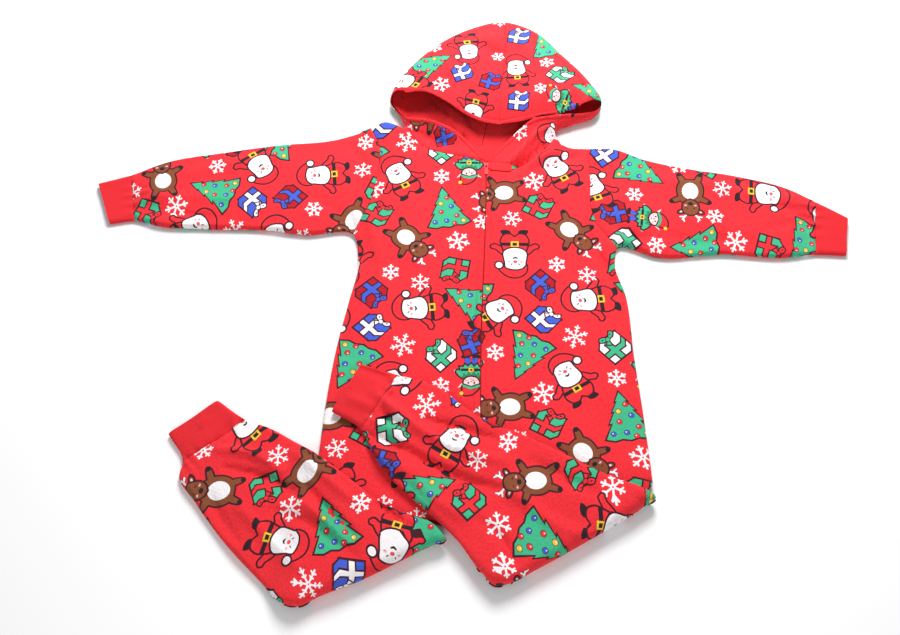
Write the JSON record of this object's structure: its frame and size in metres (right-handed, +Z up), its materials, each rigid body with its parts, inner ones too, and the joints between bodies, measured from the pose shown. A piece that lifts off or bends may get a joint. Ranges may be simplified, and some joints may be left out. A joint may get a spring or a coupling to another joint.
{
  "type": "onesie pajama",
  "caption": "Child's hooded fleece onesie with a front zip and ribbed cuffs, laid out face up with both legs folded up over the body.",
  "frame": {"origin": "middle of the bounding box, on the surface that the garment lies on", "axes": "+X toward the wearer's left sleeve, +Y toward the hood, +Z up"},
  "size_m": [1.2378, 1.044, 0.045],
  "materials": {
    "fleece": "printed polyester fleece, short nap",
    "inner": "plain fleece",
    "rib": "plain ribbed knit",
    "zip_red": "red enamel, satin"
  },
  "bodies": {
    "garment": {"front_l": "fleece", "front_r": "fleece", "back_l": "fleece", "back_r": "fleece", "sleeve_l": "fleece", "sleeve_r": "fleece", "hood_l": "fleece", "hood_r": "fleece", "leg_l_top": "fleece", "leg_r_top": "fleece", "leg_l_layers": "inner", "leg_r_layers": "inner", "wrist_cuff_l": "rib", "wrist_cuff_r": "rib", "ankle_cuff_l": "rib", "ankle_cuff_r": "rib", "zip_guard": "fleece", "zip_tape": "zip_red", "zip_slider": "zip_red"},
    "pull": {"zip_pull": "zip_red"}
  },
  "joints": [
    {"name": "pull_hinge", "type": "hinge", "parent": "garment", "child": "pull", "pos_m": [0.0286, 0.208, 0.01955], "axis": [-1, 0, 0], "range_deg": [0, 150]}
  ]
}
